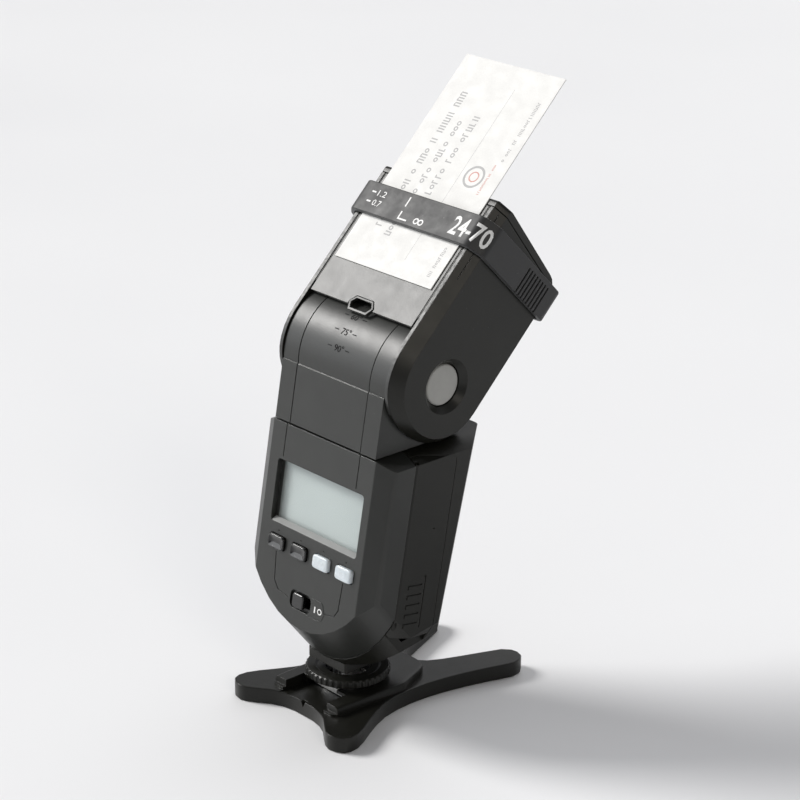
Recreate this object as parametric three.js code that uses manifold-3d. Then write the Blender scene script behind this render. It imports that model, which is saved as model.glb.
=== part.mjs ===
import * as THREE from 'three';
import { mergeVertices } from 'three/addons/utils/BufferGeometryUtils.js';
import Module from 'manifold-3d';

const wasm = await Module();
wasm.setup();

// ---------------------------------------------------------------- driving dimensions (mm, degrees)
const GAP = 0.3;                 // shadow gap between neighbouring mouldings
const WALL = 2.0;                // moulding wall

const LEAN = 9.5;                // body leans forward off the upright foot
const PANEL_Y = -29;             // control panel plane, in the leaning frame
const PANEL_HALF = 27.4;         // half width of the flat panel and of the neck
const SIDE_HALF = 34;            // half width of the body
const SIDE_REAR_Y = -25.1;       // where the panel bevel meets the side
const SIDE_FRONT_Y = 10.8;       // where the front chamfer starts
const FRONT_Y = 22;              // front face at the top
const FRONT_HALF = 24;
const FRONT_TAPER = 3.7;         // the front face runs back towards the foot
const TOP_Z = 106.3;             // level deck the neck swivels on
const SHOULDER_Z = 103.3;
const SEAM_Y = -15.8;            // split between rear and front mouldings
const DOOR_Y = 3.9;              // front edge of the battery door

const SWIVEL_Y = 16.6;           // vertical swivel axis
const PIVOT_Z = 128.6;           // tilt axis
const NECK_Z = 107.0;
const DRUM_R = 24.1;

const TILT = 45;                 // elevation of the head as posed
const HEAD_TOP = 24.8;           // top plane above the tilt axis
const HEAD_BOTTOM = -19.0;
const CROWN_BOTTOM = -20.4;      // underside between the corner chamfers
const HEAD_HALF = 32.4;
const TOP_HALF = 26.7;           // half width of the loose top panel
const RIM_HALF = 28.9;           // where the corner chamfer starts
const CHAMFER_Z = 20.1;
const HEAD_END = 62.4;           // front of the head along the top
const HEAD_END_LOW = 56.5;       // front of the head along the bottom
const TOP_START = 8.1;           // rear edge of the top panel

const CARD = [50, 90, 0.4];
const CARD_START = 23;
const BAND_U = [41.5, 54];
const BAND_T = 1.9;

const WHEEL_R = 15.7;
const WHEEL_Z = [11.5, 14.6];
const FLOOR_Z = 5.9;             // floor of the stand's shoe channel
const RAIL_Z = 9.7;
const FOOT = { w: 18.6, l: 18, t: 2, z: 6.2 };
const BLOCK = { half: 10.4, rear: -10.4, front: 17.7, z: 17.3 };

const LCD = { x: [-22.6, 23.8], z: [66.1, 89.5] };
const BUTTON_X = [-17.3, -5.1, 7.3, 19.5];
const BUTTON_Z = 59.2;
const SWITCH = { x: -1.4, z: 41.6 };
const CELL = { r: 7.1, l: 48.5, y: -6, x: -22.6, z: [46.2, 61.2, 76.2, 91.2] };

// ---------------------------------------------------------------- materials
const MATERIALS = {
  shell: ['#2b2c2b', 0.55, 0],
  panel: ['#323432', 0.5, 0],
  soft: ['#1c1d1c', 0.7, 0],
  gloss: ['#0c0c0d', 0.15, 0],
  milky: ['#cfd8e0', 0.35, 0],
  grey: ['#9a9b99', 0.45, 0],
  steel: ['#b9bbbd', 0.3, 1],
  brass: ['#b58d3c', 0.35, 1],
  lcd: ['#aab6b2', 0.3, 0],
  clear: ['#dfe6e8', 0.08, 0],
  red: ['#4a0a0c', 0.12, 0],
  board: ['#1f5a38', 0.55, 0],
  sleeve: ['#3a3f46', 0.4, 0],
  cell: ['#c9a23a', 0.35, 0.4],
  mirror: ['#e6e8ea', 0.08, 1],
  card: ['#f3f2ee', 0.8, 0],
  band: ['#17181a', 0.85, 0],
};

const group = new THREE.Group();
group.name = 'speedlight_flash';

// ---------------------------------------------------------------- solids
const rad = THREE.MathUtils.degToRad;
const move = (x, y, z) => new THREE.Matrix4().makeTranslation(x, y, z);
const turnX = (deg) => new THREE.Matrix4().makeRotationX(rad(deg));
const turnY = (deg) => new THREE.Matrix4().makeRotationY(rad(deg));
const turnZ = (deg) => new THREE.Matrix4().makeRotationZ(rad(deg));
const chain = (...list) => list.reduce((a, b) => a.multiply(b), new THREE.Matrix4());

const ROOM = chain();
const BODY = chain(turnX(-LEAN));
const HEAD = chain(move(0, SWIVEL_Y, PIVOT_Z), turnX(TILT));
const FRONT = chain(BODY, move(0, 0, 108), turnX(-FRONT_TAPER), move(0, 0, -108));
const KEEL = turnX(8);
const DRUM = move(0, SWIVEL_Y, PIVOT_Z);

function solid(geometry, frame = ROOM) {
  geometry.applyMatrix4(frame);
  geometry.deleteAttribute('normal');
  geometry.deleteAttribute('uv');
  const welded = mergeVertices(geometry, 1e-4);
  const index = [];
  for (let i = 0; i < welded.index.count; i += 3) {
    const [a, b, c] = [0, 1, 2].map((k) => welded.index.getX(i + k));
    if (a !== b && b !== c && c !== a) index.push(a, b, c);
  }
  return new wasm.Manifold(new wasm.Mesh({
    numProp: 3,
    vertProperties: Float32Array.from(welded.attributes.position.array),
    triVerts: Uint32Array.from(index),
  }));
}

const join = (...parts) => parts.reduce((a, b) => a.add(b));
const cut = (base, ...tools) => tools.reduce((a, b) => a.subtract(b), base);
const common = (...parts) => parts.reduce((a, b) => a.intersect(b));

// Block given by its limits along each axis.
function block([x0, x1], [y0, y1], [z0, z1], frame = ROOM) {
  const g = new THREE.BoxGeometry(x1 - x0, y1 - y0, z1 - z0);
  g.translate((x0 + x1) / 2, (y0 + y1) / 2, (z0 + z1) / 2);
  return solid(g, frame);
}

// Rounds the corners of a closed outline given as [a, b, radius].
function rounded(points, steps = 4) {
  const out = [];
  points.forEach(([a, b, r = 0], i) => {
    const here = new THREE.Vector2(a, b);
    if (!r) { out.push(here); return; }
    const before = points[(i + points.length - 1) % points.length];
    const after = points[(i + 1) % points.length];
    const d0 = new THREE.Vector2(before[0], before[1]).sub(here).normalize();
    const d1 = new THREE.Vector2(after[0], after[1]).sub(here).normalize();
    const half = Math.acos(THREE.MathUtils.clamp(d0.dot(d1), -1, 1)) / 2;
    const reach = r / Math.tan(half);
    const centre = d0.clone().add(d1).normalize().multiplyScalar(r / Math.sin(half)).add(here);
    const p0 = d0.multiplyScalar(reach).add(here).sub(centre);
    const p1 = d1.multiplyScalar(reach).add(here).sub(centre);
    const a0 = p0.angle();
    let sweep = p1.angle() - a0;
    if (sweep > Math.PI) sweep -= 2 * Math.PI;
    if (sweep < -Math.PI) sweep += 2 * Math.PI;
    for (let k = 0; k <= steps; k += 1) {
      const t = a0 + (sweep * k) / steps;
      out.push(new THREE.Vector2(Math.cos(t), Math.sin(t)).multiplyScalar(r).add(centre));
    }
  });
  return out;
}

// Frames that carry an outline drawn in two axes along the third.
const ALONG = {
  x: new THREE.Matrix4().set(0, 0, 1, 0, 1, 0, 0, 0, 0, 1, 0, 0, 0, 0, 0, 1),
  y: new THREE.Matrix4().set(1, 0, 0, 0, 0, 0, 1, 0, 0, 1, 0, 0, 0, 0, 0, 1),
  z: new THREE.Matrix4(),
};

// Prism of an outline between two stations of an axis: x carries (y, z), y carries (x, z), z carries (x, y).
function prism(axis, outline, [from, to], frame = ROOM, bevel = 0) {
  const shape = new THREE.Shape(outline.map((p) => (p.isVector2 ? p : new THREE.Vector2(p[0], p[1]))));
  const g = new THREE.ExtrudeGeometry(shape, {
    depth: to - from - 2 * bevel,
    bevelEnabled: bevel > 0,
    bevelSize: bevel,
    bevelThickness: bevel,
    bevelOffset: -bevel,
    bevelSegments: 2,
    curveSegments: 12,
  });
  g.translate(0, 0, from + bevel);
  if (axis === 'y') {
    g.applyMatrix4(ALONG.y);
    const index = [];
    const count = g.attributes.position.count;
    for (let i = 0; i < count; i += 3) index.push(i, i + 2, i + 1);
    g.setIndex(index);
    return solid(g, frame);
  }
  g.applyMatrix4(ALONG[axis]);
  return solid(g, frame);
}

// Round bar or disc along an axis, with its own centre in the other two.
const TURN = { x: turnZ(-90), y: chain(), z: turnX(90) };
function bar(axis, radius, [from, to], [a, b] = [0, 0], frame = ROOM, sides = 32, radiusTo = radius) {
  const g = new THREE.CylinderGeometry(radiusTo, radius, to - from, sides);
  g.translate(0, (from + to) / 2, 0);
  g.applyMatrix4(TURN[axis]);
  const centre = { x: [0, a, b], y: [a, 0, b], z: [a, b, 0] }[axis];
  g.translate(...centre);
  return solid(g, frame);
}

// Turned piece: profile of [radius, height] pairs, on the z axis.
function turned(profile, sides = 32, frame = ROOM) {
  const g = new THREE.LatheGeometry(profile.map(([r, z]) => new THREE.Vector2(r, z)), sides);
  g.applyMatrix4(turnX(90));
  return solid(g, frame);
}

function add(name, part, finish) {
  const mesh = part.getMesh();
  const g = new THREE.BufferGeometry();
  g.setAttribute('position', new THREE.BufferAttribute(Float32Array.from(mesh.vertProperties), 3));
  g.setIndex(new THREE.BufferAttribute(Uint32Array.from(mesh.triVerts), 1));
  g.computeVertexNormals();
  const [color, roughness, metalness] = MATERIALS[finish];
  const node = new THREE.Mesh(g, new THREE.MeshStandardMaterial({ color, roughness, metalness }));
  node.name = name;
  group.add(node);
}

// ---------------------------------------------------------------- table stand
const ARM_R = 6.1;
const REAR_ARM = [25.8, -25.2];
const FRONT_ARM = [22.9, 59.3];

// Right half of the stand outline, from the rear notch round to the front notch.
const standEdge = [
  [0, -21.8], [8, -22.2], [15, -25], [21.5, -30], [25.8, -31.3], [30.6, -29], [31.9, -25],
  [29.5, -18], [24.5, -9], [20.6, 1], [19.3, 12], [20, 24], [22.6, 37], [26.4, 50],
  [28.9, 58], [27.2, 63.6], [22.9, 65.4], [18.6, 63.6], [13.5, 52], [9, 40.5], [4.5, 33], [0, 31],
];

function smooth(points, count) {
  const half = points.map(([x, y]) => new THREE.Vector3(x, y, 0));
  const other = points.slice(1, -1).reverse().map(([x, y]) => new THREE.Vector3(-x, y, 0));
  const curve = new THREE.CatmullRomCurve3([...half, ...other], true, 'centripetal');
  return curve.getPoints(count).slice(0, -1).map((p) => new THREE.Vector2(p.x, p.y));
}

{
  const plate = prism('z', smooth(standEdge, 66), [0, 6.3], ROOM, 0.7);
  const hubEdge = rounded([[-17.5, -21.8, 2.4], [17.5, -21.8, 2.4], [18.5, 12, 6], [12.5, 28.5, 8],
    [-12.5, 28.5, 8], [-18.5, 12, 6]]);
  const hub = prism('z', hubEdge, [4.5, RAIL_Z], ROOM, 1.6);
  const step = block([-17.5, 17.5], [-30, -20.2], [7.2, 12]);
  const mouth = block([-11.5, 11.5], [-30, -11.4], [FLOOR_Z, 12]);
  const channel = block([-9.65, 9.65], [-30, 9.7], [FLOOR_Z, 8.5]);
  const stemWay = block([-6.7, 6.7], [-30, 7.2], [8, 12]);
  const notch = prism('y', [[-1.2, 6.2], [0, 3.6], [1.2, 6.2]], [-30, -20.4]);
  const insertBore = bar('z', 5.0, [-1, 6.5], [0, 9 + 3.2], ROOM, 24);
  const pinHole = bar('z', 1.8, [4.4, 6.5], [0, -6], ROOM, 16);
  add('stand_base', cut(join(plate, hub), step, mouth, channel, stemWay, notch, insertBore, pinHole), 'soft');

  const insert = turned([[3.1, 0.4], [4.85, 0.4], [4.85, 5.4], [3.1, 5.4], [3.1, 0.4]], 24, move(0, 12.2, 0));
  add('stand_tripod_insert', insert, 'brass');
}

// ---------------------------------------------------------------- mounting foot
{
  const { w, l, t, z } = FOOT;
  const plate = prism('z', rounded([[-w / 2, -l / 2, 1], [w / 2, -l / 2, 1], [w / 2, l / 2, 1.5],
    [-w / 2, l / 2, 1.5]], 3), [z, z + t]);
  const stem = bar('z', 4.5, [z + t / 2, BLOCK.z - GAP], [0, 0], ROOM, 32);
  const pinBore = bar('z', 1.3, [z - 1, z + t + 1], [0, -6], ROOM, 16);
  const contactBores = [[0, 1.2], [-4.6, -2.2], [4.6, -2.2], [-3.5, 4.6], [3.5, 4.6]];
  const bores = contactBores.map(([x, y]) => bar('z', 1.25, [z - 1, z + 0.9], [x, y], ROOM, 12));
  add('shoe_plate', cut(join(plate, stem), pinBore, ...bores), 'steel');
  contactBores.forEach(([x, y], i) => {
    add(`shoe_contact_${i + 1}`, turned([[0, -0.1], [0.7, -0.1], [1.05, 0.2], [1.05, 0.85], [0, 0.85]], 12,
      move(x, y, z)), 'brass');
  });
  add('lock_pin', bar('z', 1.0, [z + 0.1, 15.5], [0, -6], ROOM, 16), 'steel');

  const knurls = 40;
  const rim = [];
  for (let i = 0; i < knurls; i += 1) {
    const step = (2 * Math.PI) / knurls;
    [[0, 0], [0.18, -0.55], [0.5, -0.55], [0.68, 0]].forEach(([f, d]) => {
      const t = (i + f) * step;
      rim.push([(WHEEL_R + d) * Math.cos(t), (WHEEL_R + d) * Math.sin(t)]);
    });
  }
  const blank = turned([[8.3, WHEEL_Z[0]], [WHEEL_R - 0.7, WHEEL_Z[0]], [WHEEL_R + 0.1, WHEEL_Z[0] + 0.6],
    [WHEEL_R + 0.1, WHEEL_Z[1] - 0.6], [WHEEL_R - 0.7, WHEEL_Z[1]], [12.2, WHEEL_Z[1]],
    [11.2, WHEEL_Z[1] - 0.7], [8.3, WHEEL_Z[1] - 0.7], [8.3, WHEEL_Z[0]]], 40);
  add('lock_wheel', common(prism('z', rim, [WHEEL_Z[0] - 1, WHEEL_Z[1] + 1]), blank), 'soft');
}

// ---------------------------------------------------------------- body form
// Outer form of the body, or the same form set in by the wall for its cavity.
function bodyForm(t) {
  const far = 90;
  const rearPlan = [
    [-FRONT_HALF, far], [-SIDE_HALF + t, far], [-SIDE_HALF + t, SIDE_REAR_Y + 0.5 * t, 2.4],
    [-PANEL_HALF + 0.3 * t, PANEL_Y + t, 1.2], [PANEL_HALF - 0.3 * t, PANEL_Y + t, 1.2],
    [SIDE_HALF - t, SIDE_REAR_Y + 0.5 * t, 2.4], [SIDE_HALF - t, far], [FRONT_HALF, far],
  ];
  const frontPlan = [
    [-60, -60], [60, -60], [60, -40], [SIDE_HALF + 20, SIDE_FRONT_Y - 24],
    [SIDE_HALF - 0.9 * t, SIDE_FRONT_Y - 0.5 * t, 2],
    [FRONT_HALF - 0.5 * t, FRONT_Y - t, 3], [-FRONT_HALF + 0.5 * t, FRONT_Y - t, 3],
    [-SIDE_HALF + 0.9 * t, SIDE_FRONT_Y - 0.5 * t, 2], [-SIDE_HALF - 20, SIDE_FRONT_Y - 24], [-60, -40],
  ];
  const deck = [
    [-60, -10], [60, -10], [60, 60], [SIDE_HALF - t + 8, 60], [SIDE_HALF - t + 8, SHOULDER_Z - t - 3.4],
    [SIDE_HALF - t, SHOULDER_Z - t], [PANEL_HALF - t, TOP_Z - t], [-PANEL_HALF + t, TOP_Z - t],
    [-SIDE_HALF + t, SHOULDER_Z - t], [-SIDE_HALF + t - 8, SHOULDER_Z - t - 3.4],
    [-SIDE_HALF + t - 8, 60], [-60, 60],
  ];
  // The chin is swept back below the flat panel and is round across the width.
  const chinR = 40;
  const chinArc = [];
  for (let i = 0; i <= 16; i += 1) {
    const a = rad(-90 + (i - 8) * 9);
    chinArc.push([(chinR - t) * Math.cos(a), (chinR - t) * Math.sin(a)]);
  }
  const chinFrame = chain(move(0, -23.5, 35.9), turnX(-51), move(0, 0, chinR));
  const chin = prism('y', [...chinArc, [60, 90], [-60, 90]], [-80, 120], chinFrame);
  // The underside narrows to the foot and rises towards the front.
  const keel = [
    [-60, 120], [-SIDE_HALF + t - 6, 45], [-SIDE_HALF + t, 37.4 + 0.4 * t, 2], [-30.5 + t, 31 + 0.6 * t, 2],
    [-22, 25.5 + t, 5], [-12, 22.6 + t, 4], [12, 22.6 + t, 4], [22, 25.5 + t, 5],
    [30.5 - t, 31 + 0.6 * t, 2], [SIDE_HALF - t, 37.4 + 0.4 * t, 2], [SIDE_HALF - t + 6, 45], [60, 120],
  ];
  const tail = [[-60, 200], [-60, -20], [2, 20 + t], [20, 24 + t, 3], [25 - t, 36 + t, 4], [27 - t, 47, 4],
    [70, 80], [70, 200]];
  return common(
    prism('z', rounded(rearPlan, 3), [-20, 170], BODY),
    prism('z', rounded(frontPlan, 3), [-60, 200], FRONT),
    prism('y', rounded(deck, 3), [-90, 120]),
    chin,
    prism('y', rounded(keel, 3), [-90, 120], KEEL),
    prism('x', rounded(tail, 4), [-60, 60]),
  );
}

const outer = bodyForm(0);
const inner = bodyForm(WALL);
const shell = cut(outer, inner);
const swivelBore = bar('z', 17, [90, 120], [0, SWIVEL_Y], ROOM, 40);

// Battery door zone on the right-hand side, running up over the shoulder.
function doorZone(clear) {
  const outline = rounded([[SEAM_Y + clear, -10], [DOOR_Y - clear, -10], [DOOR_Y - clear, 104.6, 2.5 - clear],
    [SEAM_Y + clear, 104.6, 0]], 4);
  const side = prism('x', outline, [29.9 + clear, 60], BODY);
  return cut(side, block([20, 40], [-60, 60], [-20, 30.6 + clear], KEEL));
}

{
  const rearHalf = block([-60, 60], [-60, SEAM_Y - GAP / 2], [-20, 160], BODY);
  const frontHalf = block([-60, 60], [SEAM_Y + GAP / 2, 90], [-20, 160], BODY);
  const lcdHole = prism('y', rounded([[LCD.x[0], LCD.z[0], 1.2], [LCD.x[1], LCD.z[0], 1.2],
    [LCD.x[1], LCD.z[1], 1.2], [LCD.x[0], LCD.z[1], 1.2]], 3), [-40, -20], BODY);
  const buttonHoles = BUTTON_X.map((x) => prism('y', buttonOutline(x, 0.25), [-40, -20], BODY));
  const switchDip = prism('y', switchOutline(0), [-40, -27.9], BODY);
  const [slotX, slotZ] = [[SWITCH.x - 4.6, SWITCH.x + 4.6], [SWITCH.z - 2, SWITCH.z + 2]];
  const switchHole = prism('y', rounded([[slotX[0], slotZ[0], 0.6], [slotX[1], slotZ[0], 0.6],
    [slotX[1], slotZ[1], 0.6], [slotX[0], slotZ[1], 0.6]], 2), [-40, -20], BODY);
  // Shallow decorative lines moulded into the panel.
  const line = (x0, z0, x1, z1, w = 0.4) => {
    const len = Math.hypot(x1 - x0, z1 - z0);
    const tilt = THREE.MathUtils.radToDeg(Math.atan2(z1 - z0, x1 - x0));
    return block([-w / 2, len + w / 2], [-40, PANEL_Y + 0.35], [-w / 2, w / 2],
      chain(BODY, move(x0, 0, z0), turnY(-tilt)));
  };
  const lines = [];
  const tracks = [[-20.1, -17.4, -16.4, -14, -8.4, 41.2], [19.2, 19.1, 18.5, 16.8, 11.2, 41.4]];
  tracks.forEach(([top, a, b, c, d, end]) => {
    lines.push(line(top, 108, top, 90.8));
    lines.push(line(a, 55.4, b, 45), line(b, 45, c, 42.2), line(c, 42.2, d, end));
  });
  const ticks = BUTTON_X.map((x) => line(x - 0.1, 63.4, x + 0.1, 63.4, 0.5));
  const openings = [lcdHole, ...buttonHoles, switchDip, switchHole, swivelBore];
  const rear = cut(common(shell, rearHalf), ...openings, ...lines, ...ticks);
  add('rear_shell', rear, 'panel');

  const lampHole = prism('y', lampOutline(0), [10, 40], FRONT);
  const footHole = block([-7, 7], [-7, 12], [10, 30]);
  const front = cut(common(shell, frontHalf), doorZone(0), lampHole, swivelBore, footHole);
  add('front_shell', front, 'shell');

  const grip = [];
  for (let i = 0; i < 5; i += 1) {
    const z = 57.2 - 3.6 * i;
    grip.push(block([SIDE_HALF - 0.4, 50], [-11.6, -4.6], [z - 0.3, z + 0.3], BODY));
    grip.push(block([SIDE_HALF - 0.4, 50], [-11.6, -11.0], [z - 1.5, z + 0.3], BODY));
  }
  grip.push(block([SIDE_HALF - 0.4, 50], [-3.6, -3.1], [40.6, 60.4], BODY));
  grip.push(block([SIDE_HALF - 0.4, 50], [-4.4, -3.1], [59.8, 60.4], BODY));
  const latch = block([SIDE_HALF - 0.35, 50], [-3.4, -2.4], [77.6, 78.1], BODY);
  const pinBore = bar('z', 0.85, [30, 110], [32.9, SEAM_Y + 1.15], BODY, 12);
  const footClear = block([29, 35], [-14.2, DOOR_Y - 0.8], [-10, 36.8], BODY);
  const doorBlank = cut(common(shell, doorZone(GAP)), footClear);
  const knuckle = common(outer, block([31.4, 33.9], [SEAM_Y + GAP, SEAM_Y + 2.4], [44, 98], BODY));
  const edgeFrame = chain(BODY, move(SIDE_HALF, SEAM_Y + GAP, 0), turnZ(45));
  const easedEdge = block([-0.45, 0.45], [-0.45, 0.45], [-10, 160], edgeFrame);
  add('battery_door', cut(join(doorBlank, knuckle), pinBore, latch, easedEdge, ...grip), 'shell');
  add('door_hinge_pin', bar('z', 0.6, [46, 97], [32.9, SEAM_Y + 1.15], BODY, 12), 'steel');
}

function buttonOutline(x, grow) {
  const [w, h] = [4.1 + grow, 2.5 + grow];
  return rounded([[x - w, BUTTON_Z - h, 0.9], [x + w, BUTTON_Z - h, 0.9], [x + w, BUTTON_Z + h, 0.9],
    [x - w, BUTTON_Z + h, 0.9]], 3);
}

function switchOutline(grow) {
  const [w, h] = [5.6 + grow, 3.4 + grow];
  return rounded([[SWITCH.x - w, SWITCH.z - h, 2.2], [SWITCH.x + w, SWITCH.z - h, 2.2],
    [SWITCH.x + w, SWITCH.z + h, 2.2], [SWITCH.x - w, SWITCH.z + h, 2.2]], 4);
}

function lampOutline(shrink) {
  const [w, low, high] = [15 - shrink, 58 + shrink, 84 - shrink];
  return rounded([[-w + 3, low, 1.5], [w - 3, low, 1.5], [w, high, 1.5], [-w, high, 1.5]], 3);
}

// ---------------------------------------------------------------- foot block under the body
{
  const { half, rear, front, z } = BLOCK;
  const side = [[rear, z], [front, z], [front + 3.4, z + 4.8], [front + 3.4, 28], [rear, 28]];
  const nose = front + 4;
  const plan = rounded([[-half, rear, 1], [half, rear, 1], [half, nose, 2.5], [-half, nose, 2.5]], 3);
  const socket = bar('z', 6.5, [z - 1, 18.6], [0, 0], ROOM, 32);
  const pinWell = bar('z', 1.6, [z - 1, 21.5], [0, -6], ROOM, 16);
  const blank = common(prism('x', side, [-half, half]), prism('z', plan, [10, 50]));
  add('foot_block', cut(blank, bodyForm(-GAP), socket, pinWell), 'shell');
}

// ---------------------------------------------------------------- panel controls and electronics
{
  const behindLcd = (grow, depth) => (
    block([LCD.x[0] - grow, LCD.x[1] + grow], depth, [LCD.z[0] - grow, LCD.z[1] + grow], BODY));
  add('lcd_window', behindLcd(1.2, [-26.7, -25.7]), 'clear');
  add('lcd_module', behindLcd(1.5, [-25.4, -22.2]), 'lcd');
  BUTTON_X.forEach((x, i) => {
    const cap = prism('y', buttonOutline(x, 0), [-30.3, -26.6], BODY, 0.45);
    const flange = block([x - 4.9, x + 4.9], [-26.7, -25.9], [BUTTON_Z - 3.1, BUTTON_Z + 3.1], BODY);
    const stem = bar('y', 1.2, [-26, -22.2], [x, BUTTON_Z], BODY, 12);
    const recess = block([x - 2.9, x + 2.9], [-40, -29.95], [BUTTON_Z - 1.4, BUTTON_Z + 1.4], BODY);
    const shaped = i < 2 ? cut(cap, recess) : cap;
    add(`panel_button_${i + 1}`, join(shaped, flange, stem), i < 2 ? 'gloss' : 'milky');
  });
  const knob = prism('y', rounded([[SWITCH.x - 3.6, SWITCH.z - 2.7, 1], [SWITCH.x + 2.2, SWITCH.z - 2.7, 1],
    [SWITCH.x + 2.2, SWITCH.z + 2.7, 1], [SWITCH.x - 3.6, SWITCH.z + 2.7, 1]], 3), [-29.9, -28.1], BODY, 0.4);
  const neck = block([SWITCH.x - 2.4, SWITCH.x + 1], [-28.6, -24], [SWITCH.z - 1.5, SWITCH.z + 1.5], BODY);
  add('power_slider', join(knob, neck), 'gloss');

  const board = cut(block([-26.5, 26.5], [-21, -19.4], [46, 98], BODY),
    bar('y', 1.6, [-30, 0], [-24, 95.4], BODY, 12), bar('y', 1.6, [-30, 0], [24, 95.4], BODY, 12));
  const chips = [[-12, 80, 12, 12], [10, 76, 8, 14], [14, 56, 10, 6], [-18, 54, 6, 6]].map(([x, z, w, h]) => (
    block([x - w / 2, x + w / 2], [-19.5, -17.9], [z - h / 2, z + h / 2], BODY)));
  add('main_board', join(board, ...chips), 'board');

  const tray = block([-26, 28.9], [-15.2, 3.2], [37.6, 99.8], BODY);
  const nests = CELL.z.map((z) => bar('x', CELL.r + 0.35, [-24.9, 40], [CELL.y, z], BODY, 24));
  const mouth = block([-24.9, 40], [-9, -3], [40.5, 97.5], BODY);
  add('battery_tray', common(cut(tray, mouth, ...nests), bodyForm(WALL + GAP)), 'soft');
  CELL.z.forEach((z, i) => {
    const flip = i % 2 ? chain(BODY, move(CELL.x, CELL.y, z), turnY(90))
      : chain(BODY, move(CELL.x + CELL.l + 1.5, CELL.y, z), turnY(-90));
    const profile = [[0, 0], [6.6, 0], [CELL.r, 0.5], [CELL.r, CELL.l - 0.5], [6.6, CELL.l],
      [2.7, CELL.l], [2.7, CELL.l + 1.2], [0, CELL.l + 1.2]];
    add(`battery_cell_${i + 1}`, turned(profile, 24, flip), 'cell');
  });
  [[0, 'lower'], [2, 'upper']].forEach(([i, side]) => {
    const [z0, z1] = [CELL.z[i] - 5, CELL.z[i + 1] + 5];
    add(`cell_strap_${side}`, block([-24.4, -23.2], [-8.6, -3.4], [z0, z1], BODY), 'steel');
  });
  add('door_contact_plate', block([29.6, 30.2], [-11, -1], [44.2, 96], BODY), 'steel');

  add('main_capacitor', turned([[0, -22], [6, -22], [6.5, -21.4], [6.5, 21.4], [6, 22], [0, 22]], 28,
    chain(BODY, move(0, 10.9, 84), turnY(90))), 'sleeve');
  add('focus_lamp_window', prism('y', lampOutline(0.25), [20.4, 22.5], FRONT, 0.4), 'red');
}

// ---------------------------------------------------------------- neck: swivel stub, drum and back strip
const NECK_HALF = PANEL_HALF - 0.5;
const behindPanel = (inset) => block([-60, 60], [-120, PANEL_Y + inset], [60, 200], BODY);

// Zone of the strip that runs up the back of the neck and over the drum.
function backStrip(spread, depth) {
  const wide = block([-18.9 - spread, 18.9 + spread], [-60, SWIVEL_Y + 10 + spread], [NECK_Z - 1, 200]);
  const drumCore = bar('x', DRUM_R - depth, [-30, 30], [0, 0], DRUM, 64);
  const lower = cut(block([-30, 30], [-60, 60], [NECK_Z - 2, PIVOT_Z]), behindPanel(depth));
  return cut(wide, drumCore, lower);
}

{
  const round = bar('x', DRUM_R, [-NECK_HALF, NECK_HALF], [0, 0], DRUM, 64);
  const drum = cut(round, block([-60, 60], [-60, 60], [90, NECK_Z]));
  const plan = rounded([[-NECK_HALF, -16, 1], [NECK_HALF, -16, 1], [NECK_HALF, 30, 8],
    [-NECK_HALF, 30, 8]], 4);
  const column = cut(prism('z', plan, [NECK_Z, PIVOT_Z]), behindPanel(0));
  const stub = bar('z', 16.6, [103.2, NECK_Z + 1], [0, SWIVEL_Y], ROOM, 40);
  const cable = bar('z', 7, [90, PIVOT_Z - 6], [0, SWIVEL_Y], ROOM, 24);
  const hollow = bar('x', 15, [-18, 18], [0, 0], DRUM, 32);
  const window = block([-16, 16], [SWIVEL_Y, 60], [PIVOT_Z - 7, PIVOT_Z + 7]);
  const pinBores = [[-40, -17], [17, 40]].map((span) => bar('x', 4.3, span, [0, 0], DRUM, 24));
  const buttonWell = bar('x', 8.2, [25.2, 40], [0, 0], DRUM, 32);
  const rooms = [cable, hollow, window, buttonWell, ...pinBores];
  add('neck_housing', cut(join(drum, column, stub), ...rooms, backStrip(0.15, 1.8)), 'panel');
  add('neck_back_cover', common(join(drum, column), backStrip(-0.15, 1.5)), 'panel');

  const section = [[12, 101.2], [19.2, 101.2], [19.2, 102.9], [12, 102.9], [12, 101.2]];
  add('swivel_retaining_ring', turned(section, 40, move(0, SWIVEL_Y, 0)), 'steel');
}

// ---------------------------------------------------------------- head
// Side outline of the head in (u, v); the lower back stays clear of the body deck at every tilt.
function headOutline(top, back, low, bottom, noseIn) {
  const pts = [[HEAD_END - noseIn, top, 1.2]];
  for (let i = 0; i <= 20; i += 1) {
    const a = 90 + i * 9;
    const r = THREE.MathUtils.lerp(back, low, THREE.MathUtils.smoothstep(a, 120, 185));
    pts.push([r * Math.cos(rad(a)), Math.min(top, r * Math.sin(rad(a)))]);
  }
  pts.push([14, bottom]);
  pts.push([HEAD_END_LOW - noseIn, bottom, 5.5]);
  return rounded(pts, 4);
}

const CHEEK_IN = NECK_HALF + 0.4;
const CORE_SIDE = headOutline(HEAD_TOP, HEAD_TOP, 21.5, CROWN_BOTTOM, 0);
const CHEEK_FACE = headOutline(CHAMFER_Z, 20.2, 19.0, HEAD_BOTTOM, 0.6);

// One cheek: flat core, then a chamfer out to the side face.
function cheekForm(s) {
  const flat = prism('x', CORE_SIDE, s > 0 ? [CHEEK_IN, RIM_HALF] : [-RIM_HALF, -CHEEK_IN], HEAD);
  return join(flat, loft(CORE_SIDE, CHEEK_FACE, s * RIM_HALF, s * HEAD_HALF));
}

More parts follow.
